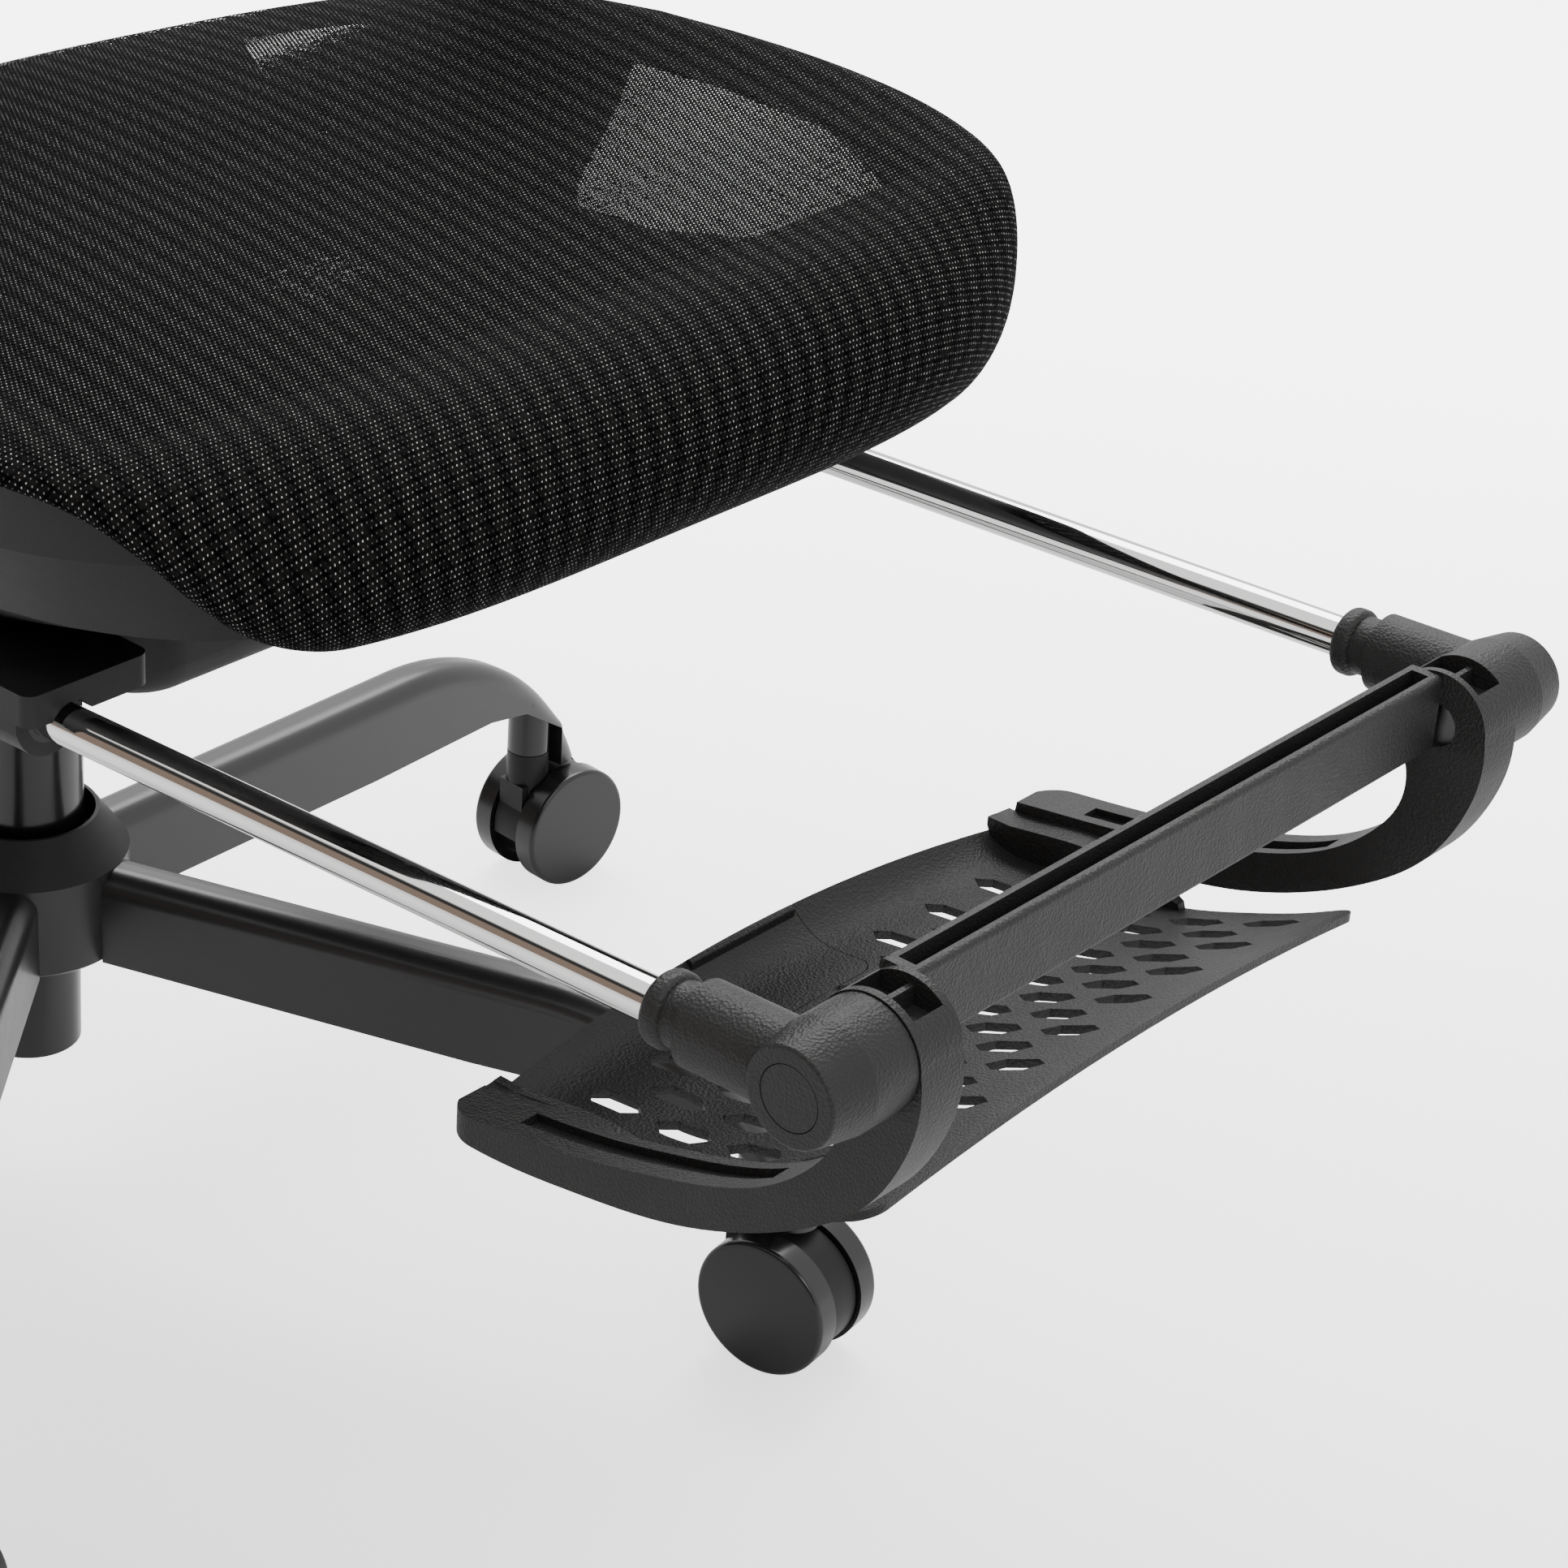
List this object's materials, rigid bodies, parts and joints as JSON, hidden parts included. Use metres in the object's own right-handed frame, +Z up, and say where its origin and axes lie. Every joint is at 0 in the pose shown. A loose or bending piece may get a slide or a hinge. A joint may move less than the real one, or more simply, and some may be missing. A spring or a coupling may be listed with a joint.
{
  "type": "task chair",
  "caption": "Task chair with a mesh seat on a moulded shell, a pull-out footrest that turns over, a reclining mesh back and a star base on twin casters.",
  "frame": {"origin": "on the floor, on the axis of the gas column", "axes": "+Z up; the sitter faces -Y; the sitter's left hand is on +X"},
  "size_m": [0.7362, 0.9583, 1.0355],
  "materials": {
    "base_steel": "satin powder coat",
    "dark_plastic": "fine moulded texture",
    "column_gloss": "gloss",
    "caster_plastic": "matte",
    "caster_tread": "glossy tread, matte faces",
    "collar_gloss": "gloss",
    "bushing_plastic": "satin",
    "plain_steel": "zinc plated",
    "cylinder_chrome": "polished",
    "rod_chrome": "polished",
    "shell_plastic": "fine moulded texture",
    "lever_plastic": "satin",
    "grained_plastic": "fine leather grain",
    "seat_mesh_cloth": "open weave with silver flecks",
    "back_mesh_cloth": "open weave",
    "soft_pad": "soft matte",
    "post_steel": "satin"
  },
  "bodies": {
    "base": {"base_hub": "base_steel", "hub_cover": "dark_plastic", "stem_sockets": "collar_gloss", "column_tube": "column_gloss", "column_bushing": "bushing_plastic", "thrust_bearing": "plain_steel", "piston_rod": "plain_steel", "base_arm_1": "base_steel", "base_arm_2": "base_steel", "base_arm_3": "base_steel", "base_arm_4": "base_steel", "base_arm_5": "base_steel"},
    "lift": {"gas_cylinder": "cylinder_chrome"},
    "release": {"release_pin": "plain_steel"},
    "seat": {"tilt_housing": "dark_plastic", "tilt_plate": "plain_steel", "front_tray": "shell_plastic", "tension_spring": "plain_steel", "back_pivot_shaft": "plain_steel", "seat_shell": "shell_plastic", "seat_mesh": "seat_mesh_cloth", "seat_bolts": "plain_steel", "guide_screws": "plain_steel", "guide_bushings": "bushing_plastic", "rod_guide_left": "shell_plastic", "rod_guide_right": "shell_plastic", "armrest_bracket_left": "dark_plastic", "armrest_bracket_right": "dark_plastic"},
    "lift_lever": {"height_lever": "lever_plastic"},
    "lock": {"lock_lever": "lever_plastic"},
    "knob": {"tension_knob": "lever_plastic"},
    "footrest_slider": {"footrest_rod_left": "rod_chrome", "footrest_rod_right": "rod_chrome", "elbow_left": "grained_plastic", "elbow_right": "grained_plastic", "elbow_caps": "grained_plastic", "pivot_pins": "plain_steel"},
    "footrest": {"footrest_link_left": "grained_plastic", "footrest_link_right": "grained_plastic", "footrest_crossbar": "grained_plastic", "footrest_pad": "grained_plastic", "pad_pull": "grained_plastic"},
    "backrest": {"back_bar": "dark_plastic", "back_frame": "dark_plastic", "back_mesh": "back_mesh_cloth", "lumbar_pad": "soft_pad"},
    "armrest_right": {"armrest_post_right": "post_steel", "armrest_pad_right": "soft_pad"},
    "armrest_left": {"armrest_post_left": "post_steel", "armrest_pad_left": "soft_pad"},
    "caster_1": {"caster_frame_1": "caster_plastic"},
    "wheels_1": {"caster_wheels_1": "caster_tread"},
    "caster_2": {"caster_frame_2": "caster_plastic"},
    "wheels_2": {"caster_wheels_2": "caster_tread"},
    "caster_3": {"caster_frame_3": "caster_plastic"},
    "wheels_3": {"caster_wheels_3": "caster_tread"},
    "caster_4": {"caster_frame_4": "caster_plastic"},
    "wheels_4": {"caster_wheels_4": "caster_tread"},
    "caster_5": {"caster_frame_5": "caster_plastic"},
    "wheels_5": {"caster_wheels_5": "caster_tread"}
  },
  "joints": [
    {"name": "seat_lift", "type": "slide", "parent": "base", "child": "lift", "axis": [0, 0, 1], "range_m": [0, 0.1]},
    {"name": "release_press", "type": "slide", "parent": "lift", "child": "release", "axis": [0, 0, -1], "range_m": [0, 0.0052]},
    {"name": "seat_swivel", "type": "hinge", "parent": "lift", "child": "seat", "pos_m": [0, 0, 0.34], "axis": [0, 0, 1], "continuous": true},
    {"name": "lift_lever_pull", "type": "hinge", "parent": "seat", "child": "lift_lever", "pos_m": [0, -0.03, 0.344], "axis": [1, 0, 0], "range_deg": [-8, 0], "stiffness_Nm_per_rad": 1.5, "springref_deg": 5.73},
    {"name": "lock_lever_turn", "type": "hinge", "parent": "seat", "child": "lock", "pos_m": [0, 0.025, 0.344], "axis": [1, 0, 0], "range_deg": [-20, 20]},
    {"name": "tension_knob_turn", "type": "hinge", "parent": "seat", "child": "knob", "pos_m": [0, -0.12, 0.352], "axis": [0, 1, 0], "continuous": true},
    {"name": "footrest_pull", "type": "slide", "parent": "seat", "child": "footrest_slider", "axis": [0, -0.9994, 0.036], "range_m": [-0.2, 0]},
    {"name": "footrest_flip", "type": "hinge", "parent": "footrest_slider", "child": "footrest", "pos_m": [0, -0.5817, 0.3882], "axis": [1, 0, 0], "range_deg": [0, 180]},
    {"name": "back_recline", "type": "hinge", "parent": "seat", "child": "backrest", "pos_m": [0, 0.092, 0.352], "axis": [-1, 0, 0], "range_deg": [0, 18], "stiffness_Nm_per_rad": 60, "springref_deg": -20.05},
    {"name": "armrest_right_lift", "type": "slide", "parent": "seat", "child": "armrest_right", "axis": [0, 0, 1], "range_m": [0, 0.07]},
    {"name": "armrest_left_lift", "type": "slide", "parent": "seat", "child": "armrest_left", "axis": [0, 0, 1], "range_m": [0, 0.07]},
    {"name": "caster_1_swivel", "type": "hinge", "parent": "base", "child": "caster_1", "pos_m": [0.12608, -0.31522, 0.08], "axis": [0, 0, 1], "continuous": true},
    {"name": "caster_1_roll", "type": "hinge", "parent": "caster_1", "child": "wheels_1", "pos_m": [0.12806, -0.3311, 0.0312], "axis": [-0.9923, -0.1236, 0], "continuous": true},
    {"name": "caster_2_swivel", "type": "hinge", "parent": "base", "child": "caster_2", "pos_m": [0.33875, 0.0225, 0.08], "axis": [0, 0, 1], "continuous": true},
    {"name": "caster_2_roll", "type": "hinge", "parent": "caster_2", "child": "wheels_2", "pos_m": [0.35471, 0.02133, 0.0312], "axis": [-0.0732, -0.9973, 0], "continuous": true},
    {"name": "caster_3_swivel", "type": "hinge", "parent": "base", "child": "caster_3", "pos_m": [0.08328, 0.32913, 0.08], "axis": [0, 0, 1], "continuous": true},
    {"name": "caster_3_roll", "type": "hinge", "parent": "caster_3", "child": "wheels_3", "pos_m": [0.06915, 0.32162, 0.0312], "axis": [-0.4695, 0.8829, 0], "continuous": true},
    {"name": "caster_4_swivel", "type": "hinge", "parent": "base", "child": "caster_4", "pos_m": [-0.28728, 0.18091, 0.08], "axis": [0, 0, 1], "continuous": true},
    {"name": "caster_4_roll", "type": "hinge", "parent": "caster_4", "child": "wheels_4", "pos_m": [-0.30154, 0.18818, 0.0312], "axis": [0.454, 0.891, 0], "continuous": true},
    {"name": "caster_5_swivel", "type": "hinge", "parent": "base", "child": "caster_5", "pos_m": [-0.26083, -0.21732, 0.08], "axis": [0, 0, 1], "continuous": true},
    {"name": "caster_5_roll", "type": "hinge", "parent": "caster_5", "child": "wheels_5", "pos_m": [-0.25407, -0.23182, 0.0312], "axis": [-0.9063, -0.4226, 0], "continuous": true}
  ],
  "couplings": [
    {"joint": "release_press", "follows": "lift_lever_pull", "m_per_rad": -0.036}
  ]
}
